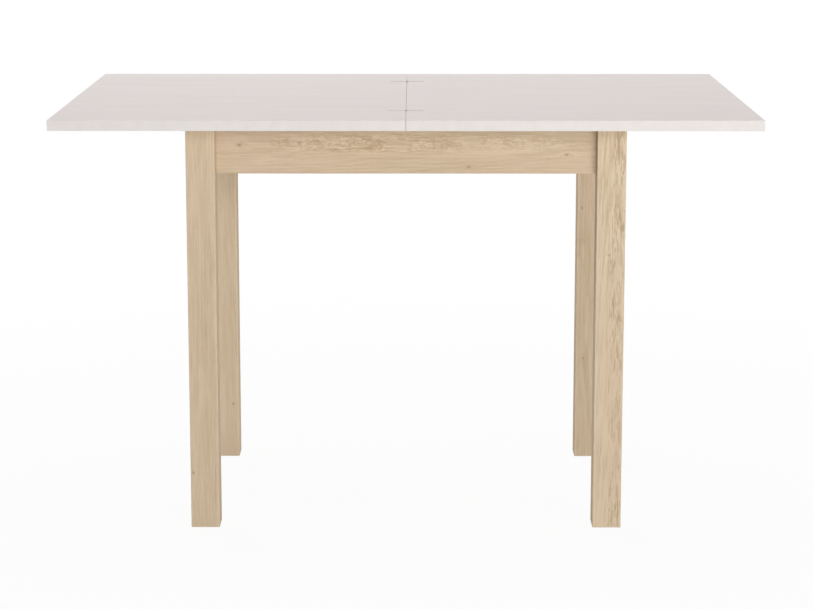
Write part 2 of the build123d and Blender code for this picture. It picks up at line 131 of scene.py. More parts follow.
class Wiring:
    """Lays and joins the nodes of one material or effect."""

    def __init__(self, tree):
        self.tree = tree

    def feed(self, socket, value):
        """Joins an input to another node's output, or sets its plain value."""
        if isinstance(value, bpy.types.NodeSocket):
            self.tree.links.new(value, socket)
        else:
            socket.default_value = value

    def add(self, kind, inputs=None, **settings):
        """New node, with its inputs fed by their names or places."""
        node = self.tree.nodes.new(kind)
        for name, value in settings.items():
            setattr(node, name, value)
        for socket, value in (inputs or {}).items():
            self.feed(node.inputs[socket], value)
        return node

    def math(self, operation, *values):
        return self.add("ShaderNodeMath", dict(enumerate(values)), operation=operation).outputs["Value"]

    def times(self, value, factor):
        return self.math("MULTIPLY", value, factor)

    def opposite(self, value):
        """1 where the value is 0, and 0 where it is 1."""
        return self.math("SUBTRACT", 1.0, value)

    def total(self, *values):
        result = values[0]
        for value in values[1:]:
            result = self.math("ADD", result, value)
        return result

    def weighed(self, marks, weights):
        """Total of the marks that have a weight, each times its weight."""
        return self.total(*[self.times(marks[name], weight) for name, weight in weights.items()])

    def vector(self, operation, *values):
        node = self.add("ShaderNodeVectorMath", dict(enumerate(values)), operation=operation)
        return node.outputs["Value"] if operation == "LENGTH" else node.outputs["Vector"]

    def scaled(self, vector, factor):
        node = self.add("ShaderNodeVectorMath", {0: vector, "Scale": factor}, operation="SCALE")
        return node.outputs["Vector"]

    def split(self, vector):
        """Parts of a vector by name: X, Y and Z."""
        return self.add("ShaderNodeSeparateXYZ", {"Vector": vector}).outputs

    def join(self, **parts):
        """Vector of its named parts. One that isn't given is 0."""
        return self.add("ShaderNodeCombineXYZ", parts).outputs["Vector"]

    def noise(self, place, scale, seed, detail=2.0):
        """Noise texture over a place, with its own scale along each axis."""
        stretched = self.vector("MULTIPLY", place, scale)
        inputs = {"Vector": stretched, "W": seed, "Scale": 1.0, "Detail": detail}
        return self.add("ShaderNodeTexNoise", inputs, noise_dimensions="4D")

    def around_zero(self, place, scale, seed, detail=2.0):
        """Noise value from about -0.3 to 0.3."""
        return self.math("SUBTRACT", self.noise(place, scale, seed, detail).outputs["Fac"], NOISE_MIDDLE)

    def sway(self, place, scale, seed):
        """Noise vector with each part from about -0.3 to 0.3."""
        colour = self.noise(place, scale, seed).outputs["Color"]
        return self.vector("SUBTRACT", colour, (NOISE_MIDDLE, NOISE_MIDDLE, NOISE_MIDDLE))

    def slope(self, value, start, end):
        """Smooth rise from 0 at the start to 1 at the end."""
        inputs = {"Value": value, "From Min": start, "From Max": end}
        return self.add("ShaderNodeMapRange", inputs, interpolation_type="SMOOTHSTEP").outputs["Result"]

    def mix(self, share, first, second):
        inputs = dict(zip(MIX_COLOUR_INPUTS, (share, first, second)))
        return self.add("ShaderNodeMix", inputs, data_type="RGBA").outputs[MIX_COLOUR_OUTPUT]

    def effect(self, group, **inputs):
        """Place of a shared effect, with its own values; its outputs by name."""
        return self.add("ShaderNodeGroup", inputs, node_tree=group).outputs

    def bump(self, shader, height, depth_mm):
        inputs = {"Height": height, "Strength": 1.0, "Distance": depth_mm * MM}
        self.feed(shader.inputs["Normal"], self.add("ShaderNodeBump", inputs).outputs["Normal"])


FLOAT = "NodeSocketFloat"
VECTOR = "NodeSocketVector"


def numbers(*names):
    """Sockets that carry one number each."""
    return dict.fromkeys(names, FLOAT)


def new_effect(name, inputs, outputs):
    """Empty shared effect with named sockets: its wiring, its inputs and its outputs."""
    group = bpy.data.node_groups.new(name, "ShaderNodeTree")
    for socket, kind in inputs.items():
        group.interface.new_socket(socket, in_out="INPUT", socket_type=kind)
    for socket, kind in outputs.items():
        group.interface.new_socket(socket, in_out="OUTPUT", socket_type=kind)
    wiring = Wiring(group)
    return wiring, wiring.add("NodeGroupInput").outputs, wiring.add("NodeGroupOutput").inputs


def new_finish(name):
    """Empty material: itself, its wiring and its shader."""
    material = bpy.data.materials.new(name)
    material.use_nodes = True
    return material, Wiring(material.node_tree), material.node_tree.nodes["Principled BSDF"]


# Shared effects


# Places are in millimetres: across, through and along the grain. A scale is in waves per millimetre on
# those three axes, and a pair of limits is where a slope starts and ends.
ACROSS_THE_LOG = (1.0, 1.0, 0.0)
PITH_DRIFT_SCALE = (0.016, 0.016, 0.0042)
RIPPLE_SCALE = (0.075, 0.075, 0.024)
RIPPLE_SHARE = 0.3  # of how far the pith wanders
FEATHER_SCALE = (0.5, 0.5, 0.03)
FEATHER_MM = 2.6
RING_CHANGE_SCALE = (0.37, 0.0, 0.0)  # from one ring to the next
RING_CHANGE = 1.8
EARLY_RISE = 0.10  # of a year
EARLY_FALL = 2.2
LATE_LIMITS = (0.45, 0.95)  # of a year
CLEAR_SCALE = (0.05, 0.05, 0.006)
CLEAR_LIMITS = (0.35, 0.62)
FAINT_RINGS = 0.35  # what is left of the rings between the clear patches
BAND_SCALE = (0.085, 0.0, 0.0)
BAND_DETAIL = 3.0


def growth_rings_effect():
    """Year rings round the log's pith, as any cut through the timber shows them."""
    inputs = {"Place": VECTOR, "Pith": VECTOR, "Lean": VECTOR}
    inputs.update(numbers("Ring", "Wander", "Swell", "Curl", "Seed"))
    w, given, result = new_effect("growth_rings", inputs, numbers("Early", "Late", "Band"))
    place = given["Place"]
    seed = given["Seed"]
    lean = w.scaled(given["Lean"], w.split(place)["Z"])
    from_pith = w.vector("SUBTRACT", w.vector("SUBTRACT", place, given["Pith"]), lean)
    drift = w.scaled(w.sway(place, PITH_DRIFT_SCALE, seed), given["Wander"])
    flat = w.vector("MULTIPLY", w.vector("ADD", from_pith, drift), ACROSS_THE_LOG)
    ripple = w.times(w.around_zero(place, RIPPLE_SCALE, seed), given["Wander"])
    ripple = w.times(ripple, RIPPLE_SHARE)
    feather = w.times(w.around_zero(place, FEATHER_SCALE, seed), FEATHER_MM)
    radius = w.total(w.vector("LENGTH", flat), ripple, feather, given["Swell"])
    count = w.math("DIVIDE", radius, given["Ring"])
    uneven = w.times(w.around_zero(w.join(X=count), RING_CHANGE_SCALE, seed), RING_CHANGE)
    year = w.math("FRACT", w.total(count, uneven))
    fading = w.math("POWER", w.opposite(year), EARLY_FALL)
    early = w.times(fading, w.slope(year, 0.0, EARLY_RISE))
    patch = w.slope(w.noise(place, CLEAR_SCALE, seed).outputs["Fac"], *CLEAR_LIMITS)
    clear = w.times(w.math("MAXIMUM", patch, given["Curl"]), 1.0 - FAINT_RINGS)
    w.feed(result["Early"], w.times(early, w.total(FAINT_RINGS, clear)))
    w.feed(result["Late"], w.slope(year, *LATE_LIMITS))
    w.feed(result["Band"], w.around_zero(w.join(X=radius), BAND_SCALE, seed, BAND_DETAIL))
    return w.tree


FIBRE_MARKS = {  # the scale and detail of each
    "Fibre": ((1.3, 1.3, 0.028), 3.0),
    "Dash": ((0.62, 0.62, 0.022), 1.0),
    "Streak": ((0.2, 0.2, 0.0065), 2.0),
    "Drift": ((0.03, 0.03, 0.0035), 2.0),
}
BLUSH_SCALE = (0.022, 0.022, 0.005)
BLUSH_LIMITS = (0.40, 0.68)
PORE_SCALE = (2.2, 2.2, 0.075)
PORE_DETAIL = 1.0
PORE_LIMITS = (0.56, 0.68)
LATE_PORES = 0.2  # what is left of the pores away from the early wood


def wood_fibre_effect():
    """Fibre streaks, long tone drifts and open pores along the grain."""
    inputs = {"Place": VECTOR, "Seed": FLOAT, "Early": FLOAT}
    w, given, result = new_effect("wood_fibre", inputs, numbers(*FIBRE_MARKS, "Pores", "Blush"))
    place = given["Place"]
    seed = given["Seed"]
    for mark, (scale, detail) in FIBRE_MARKS.items():
        w.feed(result[mark], w.around_zero(place, scale, seed, detail))
    w.feed(result["Blush"], w.slope(w.noise(place, BLUSH_SCALE, seed).outputs["Fac"], *BLUSH_LIMITS))
    dashes = w.slope(w.noise(place, PORE_SCALE, seed, PORE_DETAIL).outputs["Fac"], *PORE_LIMITS)
    share = w.total(w.times(given["Early"], 1.0 - LATE_PORES), LATE_PORES)
    w.feed(result["Pores"], w.times(dashes, share))
    return w.tree


KNOT_WOBBLE_SCALE = (0.22, 0.22, 0.12)
KNOT_WOBBLE_MM = (3.0, 0.0, 6.0)
KNOT_SHAPE = (1.0, 0.12, 0.7)  # a knot runs deep through the piece, and a little along it
KNOT_CORE_LIMITS = (0.1, 1.4)  # of its size
KNOT_SWELL_REACH = 2.6  # of its size
KNOT_SWELL = 0.6  # of its size


def oak_knot_effect():
    """Pin knot: its dark core, and how far the rings swell round it."""
    inputs = {"Place": VECTOR, "Centre": VECTOR, "Size": FLOAT, "Seed": FLOAT}
    w, given, result = new_effect("oak_knot", inputs, numbers("Core", "Swell"))
    wobble = w.vector("MULTIPLY", w.sway(given["Place"], KNOT_WOBBLE_SCALE, given["Seed"]), KNOT_WOBBLE_MM)
    offset = w.vector("ADD", w.vector("SUBTRACT", given["Place"], given["Centre"]), wobble)
    distance = w.vector("LENGTH", w.vector("MULTIPLY", offset, KNOT_SHAPE))
    share = w.math("DIVIDE", distance, given["Size"])
    w.feed(result["Core"], w.opposite(w.slope(share, *KNOT_CORE_LIMITS)))
    squared = w.math("POWER", w.math("DIVIDE", share, KNOT_SWELL_REACH), 2.0)
    falling = w.math("EXPONENT", w.times(squared, -1.0))
    w.feed(result["Swell"], w.times(falling, w.times(given["Size"], KNOT_SWELL)))
    return w.tree


ON_THE_FACE = (1.0, 0.0, 1.0)
CURL_SCALE = (0.03, 0.03, 0.014)
CURL_LIMITS = (0.28, 0.50)
CURL_OVAL_LIMITS = (0.5, 1.15)  # of its half width and length
ONE_WAVE = (1.0, 1.0, 1.0)
SWIRL_BEND_MM = 7.0
SWIRL_LINES = 26.0


def curly_figure_effect():
    """Curly grain: a patchy oval on a piece's face, its swirl lines and the place bent by them."""
    inputs = {"Place": VECTOR, "Centre": VECTOR, "Spread": VECTOR, "Wave": VECTOR, "Seed": FLOAT}
    outputs = {"Curl": FLOAT, "Swirl": FLOAT, "Bent": VECTOR}
    w, given, result = new_effect("curly_figure", inputs, outputs)
    place = given["Place"]
    seed = given["Seed"]
    offset = w.vector("DIVIDE", w.vector("SUBTRACT", place, given["Centre"]), given["Spread"])
    distance = w.vector("LENGTH", w.vector("MULTIPLY", offset, ON_THE_FACE))
    patch = w.slope(w.noise(place, CURL_SCALE, seed).outputs["Fac"], *CURL_LIMITS)
    curl = w.times(patch, w.opposite(w.slope(distance, *CURL_OVAL_LIMITS)))
    field = w.around_zero(w.vector("DIVIDE", place, given["Wave"]), ONE_WAVE, seed)
    bend = w.join(X=w.times(curl, w.times(field, SWIRL_BEND_MM)))
    w.feed(result["Curl"], curl)
    w.feed(result["Swirl"], w.times(curl, w.math("SINE", w.times(field, SWIRL_LINES))))
    w.feed(result["Bent"], w.vector("ADD", place, bend))
    return w.tree


EDGE_LIMITS_MM = (0.5, 5.0)


def eased_edge_effect():
    """1 along the edges of a box-shaped piece, falling to 0 a little way in."""
    w, given, result = new_effect("eased_edge", {"Place": VECTOR, "Half": VECTOR}, numbers("Edge"))
    depth = w.split(w.vector("SUBTRACT", given["Half"], w.vector("ABSOLUTE", given["Place"])))
    nearer = w.math("MINIMUM", depth["X"], depth["Y"])
    farther = w.math("MAXIMUM", depth["X"], depth["Y"])
    second = w.math("MAXIMUM", nearer, w.math("MINIMUM", farther, depth["Z"]))
    w.feed(result["Edge"], w.opposite(w.slope(second, *EDGE_LIMITS_MM)))
    return w.tree


# Lines that rolling and brushing leave on sheet metal, and clouds in its plating: scale and detail
DRAWN_LINES = {"Lines": ((2.4, 2.4, 0.05), 3.0), "Clouds": ((0.09, 0.09, 0.09), 4.0)}
# Fine grain of moulded nylon, edging strip and pressed felt, and their slow changes of tone
FINE_PITTING = {"Grain": ((2.4, 2.4, 2.4), 4.0), "Tone": ((0.05, 0.05, 0.05), 2.0)}


def plain_marks_effect(name, marks):
    """Marks that are each one noise from 0 to 1, with its own scale and detail."""
    w, given, result = new_effect(name, {"Place": VECTOR, "Seed": FLOAT}, numbers(*marks))
    for mark, (scale, detail) in marks.items():
        w.feed(result[mark], w.noise(given["Place"], scale, given["Seed"], detail).outputs["Fac"])
    return w.tree


growth_rings = growth_rings_effect()
wood_fibre = wood_fibre_effect()
oak_knot = oak_knot_effect()
curly_figure = curly_figure_effect()
eased_edge = eased_edge_effect()
drawn_lines = plain_marks_effect("drawn_lines", DRAWN_LINES)
fine_pitting = plain_marks_effect("fine_pitting", FINE_PITTING)


# Finishes


GRAIN_AXES = {"X": "ZYX", "Y": "ZXY", "Z": "XYZ"}  # across, through and along, by the piece's length


class Knot(NamedTuple):
    """A pin knot, in millimetres from the piece's middle."""

    across: float
    through: float
    along: float
    size: float


class Figure(NamedTuple):
    """An oval of curly grain on a piece's face, in millimetres from its middle."""

    across: float
    along: float
    half_width: float
    half_length: float
    swirl_width: float
    swirl_length: float


class Timber(NamedTuple):
    """How a piece lay in the log, in millimetres from the piece's middle: across and through it."""

    grain: str  # the axis that the grain runs along
    pith: tuple
    lean: tuple  # of the pith, for each millimetre along the piece
    ring: float
    wander: float
    seed: float
    knots: tuple = ()
    figure: Figure = None
    tone: float = 0.0  # how much paler it is than the rest
    bold: float = 1.0  # how strongly its grain shows
    edge_highlight: float = 0.0  # how much lighter its edges are: a painted highlight along the eased edges
    corner: float = 0.0  # how much darker its ends are, in the corners by the legs: painted shade


class Surface(NamedTuple):
    """Roughness and relief of a finish, and what each of its marks adds to them."""

    roughness: float
    rough_marks: dict
    relief_mm: float
    relief_marks: dict


def place_in(w, low, high, grain):
    """Place in a piece, in millimetres from its middle: across, through and along its grain."""
    spot = w.vector("SUBTRACT", w.add("ShaderNodeTexCoord").outputs["Object"], (low + high) / 2)
    parts = w.split(w.vector("DIVIDE", spot, (MM, MM, MM)))
    across, through, along = GRAIN_AXES[grain]
    return w.join(X=parts[across], Y=parts[through], Z=parts[along])


def place_in_table(w, grain="Z"):
    """Place in the table, in millimetres, for finishes that run through many pieces."""
    return place_in(w, Vector(), Vector(), grain)


def timber_marks(w, place, cut):
    """Marks of one piece of timber by name: its rings, fibre, curl, swirl lines and knot cores."""
    marks = {"Core": 0.0, "Curl": 0.0, "Swirl": 0.0}
    swell = 0.0
    for knot in cut.knots:
        centre = (knot.across, knot.through, knot.along)
        spot = w.effect(oak_knot, Place=place, Centre=centre, Size=knot.size, Seed=cut.seed)
        marks["Core"] = w.math("MAXIMUM", marks["Core"], spot["Core"])
        swell = w.total(swell, spot["Swell"])
    if cut.figure:
        figure = cut.figure
        oval = {"Centre": (figure.across, 0.0, figure.along)}
        oval["Spread"] = (figure.half_width, 1.0, figure.half_length)
        oval["Wave"] = (figure.swirl_width, figure.swirl_width, figure.swirl_length)
        curly = w.effect(curly_figure, Place=place, Seed=cut.seed, **oval)
        marks.update(Curl=curly["Curl"], Swirl=curly["Swirl"])
        place = curly["Bent"]
    log = {"Pith": (*cut.pith, 0.0), "Lean": (*cut.lean, 0.0), "Ring": cut.ring, "Wander": cut.wander}
    rings = w.effect(growth_rings, Place=place, Swell=swell, Curl=marks["Curl"], Seed=cut.seed, **log)
    fibre = w.effect(wood_fibre, Place=place, Seed=cut.seed, Early=rings["Early"])
    marks.update(rings.items())
    marks.update(fibre.items())
    return marks


def give_surface(w, shader, marks, surface):
    """Roughness and relief of a finish by its marks."""
    roughness = w.total(surface.roughness, w.weighed(marks, surface.rough_marks))
    w.feed(shader.inputs["Roughness"], roughness)
    w.bump(shader, w.weighed(marks, surface.relief_marks), surface.relief_mm)


OAK_TONE = 0.66
OAK_MARKS = {"Late": 0.06, "Band": 0.35, "Drift": 0.95, "Streak": 0.60, "Fibre": 0.55}
OAK_LINES = {"Early": -0.36, "Dash": 1.3}
OAK_LINES_SHOWN = 0.45  # in plain grain, and as much again where it curls
OAK_SWIRL = 0.16
OAK_BLUSH = 0.35
OAK_PORES = 0.40
OAK_KNOT_SHARE = 0.5
OAK_CORNER_SHADE_MM = (4.0, 0.5)  # from a piece's end, where its painted corner shade starts and is full
OAK_SURFACE = Surface(0.74, {"Pores": 0.2, "Streak": 1.0}, 0.05, {"Fibre": 0.4, "Pores": -1.0})
OAK_GLOSS = 0.18


def pale_oak(node, cut):
    """Matt-oiled pale oak, with its own cut of the log for each piece."""
    material, w, shader = new_finish(node + "_pale_oak")
    low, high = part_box(node)
    half_mm = dict(zip("XYZ", (high - low) / (2 * MM)))
    place = place_in(w, low, high, cut.grain)
    marks = timber_marks(w, place, cut)
    half = [half_mm[axis] for axis in GRAIN_AXES[cut.grain]]
    # Painted highlight: the eased edges are made lighter, as where they catch the light
    edge = w.effect(eased_edge, Place=place, Half=half)["Edge"]
    lively = w.total(OAK_LINES_SHOWN, w.times(marks["Curl"], OAK_LINES_SHOWN))
    shade = w.total(
        OAK_TONE + cut.tone,
        w.times(w.weighed(marks, OAK_LINES), w.times(lively, cut.bold)),
        w.times(marks["Swirl"], OAK_SWIRL * cut.bold),
        w.weighed(marks, OAK_MARKS),
        w.times(edge, cut.edge_highlight),
    )
    colour = w.mix(shade, OAK_DEEP, OAK_PALE)
    colour = w.mix(w.times(marks["Blush"], OAK_BLUSH), colour, OAK_ROSY)
    colour = w.mix(w.times(marks["Pores"], OAK_PORES), colour, OAK_PORE_AND_CORNER_SHADE)
    # Painted shade: the ends darken in the corners by the legs, in the pores' dark colour
    if cut.corner:
        along = w.split(w.vector("ABSOLUTE", place))["Z"]
        at_end = w.slope(along, *[half_mm[cut.grain] - distance for distance in OAK_CORNER_SHADE_MM])
        colour = w.mix(w.times(at_end, cut.corner), colour, OAK_PORE_AND_CORNER_SHADE)
    colour = w.mix(w.times(marks["Core"], OAK_KNOT_SHARE), colour, OAK_KNOT)
    w.feed(shader.inputs["Base Color"], colour)
    give_surface(w, shader, marks, OAK_SURFACE)
    shader.inputs["Specular IOR Level"].default_value = OAK_GLOSS
    shader.inputs["Specular Tint"].default_value = OAK_SHEEN
    return material


BOARD_TONE = 0.62
BOARD_MARKS = {"Early": -0.11, "Band": 0.36, "Drift": 0.60, "Streak": 0.32, "Fibre": 0.40}
BOARD_BLUSH = 0.35
BOARD_SURFACE = Surface(0.42, {"Pores": 0.15, "Streak": 0.4}, 0.015, {"Fibre": 0.4, "Pores": -1.0})
BOARD_GLOSS = 0.35
BACKING_FIBRE = 0.4
FACING_UP_LIMITS = (-0.5, 0.5)


def white_board(node, cut, backed):
    """Off-white printed face with a faint wood grain. A backed board has a plainer sheet underneath."""
    material, w, shader = new_finish(node + "_white")
    place = place_in(w, *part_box(node), cut.grain)
    marks = timber_marks(w, place, cut)
    face = w.mix(w.total(BOARD_TONE, w.weighed(marks, BOARD_MARKS)), BOARD_GREY, BOARD_WHITE)
    face = w.mix(w.times(marks["Blush"], BOARD_BLUSH), face, BOARD_ROSY)
    if backed:
        mottle = w.effect(fine_pitting, Place=place, Seed=cut.seed)["Tone"]
        mottle = w.total(mottle, w.times(marks["Fibre"], BACKING_FIBRE))
        sheet = w.mix(mottle, BACKING_GREY, BACKING_WHITE)
        upward = w.split(w.add("ShaderNodeTexCoord").outputs["Normal"])["Z"]
        face = w.mix(w.slope(upward, *FACING_UP_LIMITS), sheet, face)
    w.feed(shader.inputs["Base Color"], face)
    give_surface(w, shader, marks, BOARD_SURFACE)
    shader.inputs["Specular IOR Level"].default_value = BOARD_GLOSS
    return material


BEECH_TONE = 0.6
BEECH_MARKS = {"Early": -0.25, "Band": 1.0, "Drift": 1.0, "Streak": 1.0}
BEECH_FLECKS = 0.6
BEECH_SURFACE = Surface(0.6, {"Fibre": 1.0}, 0.04, {"Fibre": 1.0})


def steamed_beech(node, cut):
    """Planed beech with its short dark flecks."""
    material, w, shader = new_finish(node + "_beech")
    marks = timber_marks(w, place_in(w, *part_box(node), cut.grain), cut)
    colour = w.mix(w.total(BEECH_TONE, w.weighed(marks, BEECH_MARKS)), BEECH_DEEP, BEECH_PALE)
    colour = w.mix(w.times(marks["Pores"], BEECH_FLECKS), colour, BEECH_FLECK)
    w.feed(shader.inputs["Base Color"], colour)
    give_surface(w, shader, marks, BEECH_SURFACE)
    return material


STRIP_SEED = 3.0
STRIP_TONE = -0.15
STRIP_MARKS = {"Tone": 1.2, "Grain": 0.2}
STRIP_SURFACE = Surface(0.40, {"Grain": 0.10}, 0.003, {"Grain": 1.0})
STRIP_GLOSS = 0.4
SEAM_STRIP_LIMITS_MM = (0.9, 1.3)  # from the middle of the table, where the seam's strips end
STRIP_END_MM = (1.0, 0.6)  # from the front and rear edges, where their cut ends start and are full
HALF_WIDTH_MM = cad_high[1] / MM


def white_strip():
    """Off-white edging strip with a fine calendered grain, greyer at its cut ends by the seam: partly the
    strip's core colour, partly painted shade in the seam.
    """
    material, w, shader = new_finish("white_edging_strip")
    place = place_in_table(w)
    marks = w.effect(fine_pitting, Place=place, Seed=STRIP_SEED)
    colour = w.mix(w.total(w.weighed(marks, STRIP_MARKS), STRIP_TONE), STRIP_GREY, STRIP_WHITE)
    from_middle = w.split(w.vector("ABSOLUTE", place))
    at_seam = w.opposite(w.slope(from_middle["X"], *SEAM_STRIP_LIMITS_MM))
    at_end = w.slope(from_middle["Y"], *[HALF_WIDTH_MM - distance for distance in STRIP_END_MM])
    # Greyer cut ends by the seam: partly the strip's core colour, partly painted shade in the seam
    w.feed(shader.inputs["Base Color"], w.mix(w.times(at_seam, at_end), colour, STRIP_END_CORE_AND_SHADE))
    give_surface(w, shader, marks, STRIP_SURFACE)
    shader.inputs["Specular IOR Level"].default_value = STRIP_GLOSS
    return material


class Plating(NamedTuple):
    """A plated steel: the axis its lines are drawn along, its two tones and how they mix."""

    drawn_along: str
    light: tuple
    deep: tuple
    clouds: float  # how strongly clouds show
    roughness: float
    bright: float = 0.5  # share of the light tone


SATIN_NICKEL = Plating("X", NICKEL_LIGHT, NICKEL_DEEP, 0.2, 0.26)
# Painted light: the front hinge plates take the same nickel in a lighter tone, for the light they catch
NICKEL_PAINTED_LIGHTER = SATIN_NICKEL._replace(bright=0.64)
ZINC_PLATE = Plating("Z", ZINC_LIGHT, ZINC_DEEP, 1.2, 0.30)
PLATING_SEED = 5.0
LINE_ROUGHNESS = 0.18
LINE_DEPTH_MM = 0.01


def plated_steel(name, plating):
    """Plated steel with drawn lines along one axis and clouds in the plating."""
    material, w, shader = new_finish(name)
    marks = w.effect(drawn_lines, Place=place_in_table(w, plating.drawn_along), Seed=PLATING_SEED)
    clouds = w.times(w.math("SUBTRACT", marks["Clouds"], NOISE_MIDDLE), plating.clouds)
    lines = w.math("SUBTRACT", marks["Lines"], NOISE_MIDDLE)
    tone = w.total(plating.bright, clouds, lines)
    w.feed(shader.inputs["Base Color"], w.mix(tone, plating.deep, plating.light))
    surface = Surface(plating.roughness, {"Lines": LINE_ROUGHNESS}, LINE_DEPTH_MM, {"Lines": 1.0})
    give_surface(w, shader, marks, surface)
    shader.inputs["Metallic"].default_value = 1.0
    shader.inputs["Specular Tint"].default_value = METAL_RIM
    return material


NYLON_SEED = 7.0
NYLON_SURFACE = Surface(0.35, {"Grain": 0.25}, 0.03, {"Grain": 1.0})


def moulded_nylon():
    """Natural nylon, slightly grained by its mould."""
    material, w, shader = new_finish("natural_nylon")
    marks = w.effect(fine_pitting, Place=place_in_table(w), Seed=NYLON_SEED)
    w.feed(shader.inputs["Base Color"], w.mix(marks["Tone"], NYLON_DEEP, NYLON_LIGHT))
    give_surface(w, shader, marks, NYLON_SURFACE)
    return material


FELT_SEED = 11.0
FELT_LIMITS = (0.3, 0.7)
FELT_SURFACE = Surface(0.85, {"Tone": 0.15}, 0.25, {"Grain": 1.0})
FELT_SHEEN = 0.3


def pressed_felt():
    """Grey pressed wool felt."""
    material, w, shader = new_finish("grey_felt")
    marks = w.effect(fine_pitting, Place=place_in_table(w), Seed=FELT_SEED)
    tone = w.slope(marks["Grain"], *FELT_LIMITS)
    w.feed(shader.inputs["Base Color"], w.mix(tone, FELT_DEEP, FELT_LIGHT))
    give_surface(w, shader, marks, FELT_SURFACE)
    shader.inputs["Sheen Weight"].default_value = FELT_SHEEN
    return material


# Each piece's own cut of the log


OAK_CUTS = {
    "front_left_leg": Timber(
        "Z", (110.0, 95.0), (0.006, 0.004), ring=3.2, wander=9.0, seed=1.0, tone=0.06, bold=1.5, edge_highlight=0.3,
        knots=(Knot(-20.0, -25.0, -260.0, 2.2),),
    ),
    "front_right_leg": Timber(
        "Z", (15.0, 60.0), (-0.01, 0.03), ring=2.6, wander=10.0, seed=2.0, tone=0.27, bold=2.6, edge_highlight=0.35,
        knots=(Knot(-2.0, -25.0, 130.0, 2.0),),
        figure=Figure(14.0, 0.0, 16.0, 700.0, 4.5, 32.0),
    ),
    "rear_left_leg": Timber(
        "Z", (-120.0, 70.0), (0.0, 0.006), ring=3.0, wander=6.0, seed=3.0, tone=0.22, bold=1.2, edge_highlight=0.3,
        knots=(Knot(14.0, -25.0, -253.0, 2.4),),
    ),
    "rear_right_leg": Timber(
        "Z", (-20.0, 80.0), (0.01, 0.02), ring=4.2, wander=9.0, seed=4.0, tone=0.04, bold=1.5, edge_highlight=0.3,
        knots=(Knot(-16.0, -25.0, 136.0, 2.4), Knot(-10.0, -25.0, -161.0, 2.2)),
    ),
    "front_apron": Timber(
        "X", (8.0, 70.0), (-0.01, 0.02), ring=2.8, wander=10.0, seed=5.0, tone=0.02, bold=1.65, corner=0.35,
        knots=(
            Knot(6.0, -10.0, -288.0, 2.4),
            Knot(10.0, -10.0, -184.0, 3.0),
            Knot(-32.0, -10.0, 108.0, 2.6),
            Knot(-11.0, -10.0, 278.0, 2.8),
        ),
        figure=Figure(9.0, 0.0, 19.0, 330.0, 8.0, 15.0),
    ),
    "rear_apron": Timber(
        "X", (-14.0, 58.0), (0.01, -0.03), ring=4.8, wander=14.0, seed=6.0, bold=1.5, corner=0.35,
        knots=(Knot(12.0, 10.0, 96.0, 2.6),),
    ),
    "left_apron": Timber(
        "Y", (10.0, -60.0), (0.0, 0.05), ring=4.6, wander=12.0, seed=7.0, bold=1.5, corner=0.35,
        knots=(Knot(-16.0, -10.0, 70.0, 2.4),),
    ),
    "right_apron": Timber(
        "Y", (-22.0, 66.0), (0.0, -0.04), ring=4.8, wander=12.0, seed=8.0, bold=1.5, corner=0.35,
        knots=(Knot(14.0, 10.0, -96.0, 2.6),),
    ),
}
BOARD_CUTS = {
    "turning_leaf_board": Timber("X", (60.0, -90.0), (0.05, 0.02), ring=15.0, wander=45.0, seed=9.0),
    "folding_leaf_board": Timber("X", (-90.0, -80.0), (0.04, -0.02), ring=15.0, wander=45.0, seed=10.0),
}
RAIL_CUT = Timber("Y", (20.0, 70.0), (0.01, 0.02), ring=3.2, wander=6.0, seed=12.0)


# Measures of the CAD's small solids


def solids_of(node):
    """Points of each separate solid in a CAD node."""
    shape = bmesh.new()
    shape.from_mesh(frame["nodes"][node].data)
    bmesh.ops.remove_doubles(shape, verts=shape.verts, dist=SAME_POINT)
    solids = []
    for first in shape.verts:
        if first.tag:
            continue
        first.tag = True
        reached = [first]
        for vert in reached:
            for neighbour in [edge.other_vert(vert) for edge in vert.link_edges]:
                if not neighbour.tag:
                    neighbour.tag = True
                    reached.append(neighbour)
        solids.append([vert.co.copy() for vert in reached])
    shape.free()
    return solids


def box_of(points):
    """Lowest and highest corner round some points."""
    low = Vector([min(p[i] for p in points) for i in range(3)])
    high = Vector([max(p[i] for p in points) for i in range(3)])
    return low, high


class Bar(NamedTuple):
    """A round or hexagonal solid: the frame at its low end with Z along it, its length and radius."""

    place: Matrix
    length: float
    radius: float

    def profile(self, points):
        """Radius and height of each point, from the bar's low end."""
        to_bar = self.place.inverted()
        local = [to_bar @ point for point in points]
        return [(math.hypot(p.x, p.y), p.z) for p in local]

    def low_end_radius(self, points):
        """Radius of a screw's shank or a glide's stem, at the bar's low end."""
        return max(radius for radius, height in self.profile(points) if height < SAME_POINT)


def bar_along(points, axis):
    """Measures a solid along an axis. X of its frame points to its farthest corner."""
    low, high = box_of(points)
    middle = (low + high) / 2
    heights = [(p - middle).dot(axis) for p in points]
    sideways = [p - middle - axis * h for p, h in zip(points, heights)]
    corner = max(sideways, key=lambda s: round(s.length / SAME_POINT))
    x_axis = corner.normalized()
    y_axis = axis.cross(x_axis)
    place = Matrix((x_axis, y_axis, axis)).transposed().to_4x4()
    place.translation = middle + axis * min(heights)
    return Bar(place, max(heights) - min(heights), corner.length)


# Meshes of the small pieces


ROUND_STEPS = 32
SQUARE = ((-1, -1), (1, -1), (1, 1), (-1, 1))


def mesh_from(shape, name):
    """Turns a bmesh into a mesh, with its faces outwards."""
    bmesh.ops.recalc_face_normals(shape, faces=shape.faces)
    mesh = bpy.data.meshes.new(name)
    shape.to_mesh(mesh)
    shape.free()
    return mesh


def skinned(name, rings):
    """Closed skin over rings of points: a face at each end, and sides from each ring to the next."""
    shape = bmesh.new()
    loops = [[shape.verts.new(point) for point in ring] for ring in rings]
    shape.faces.new(loops[0])
    shape.faces.new(loops[-1])
    for lower, upper in zip(loops, loops[1:]):
        for i in range(len(lower)):
            j = (i + 1) % len(lower)
            shape.faces.new((lower[i], lower[j], upper[j], upper[i]))
    return mesh_from(shape, name)


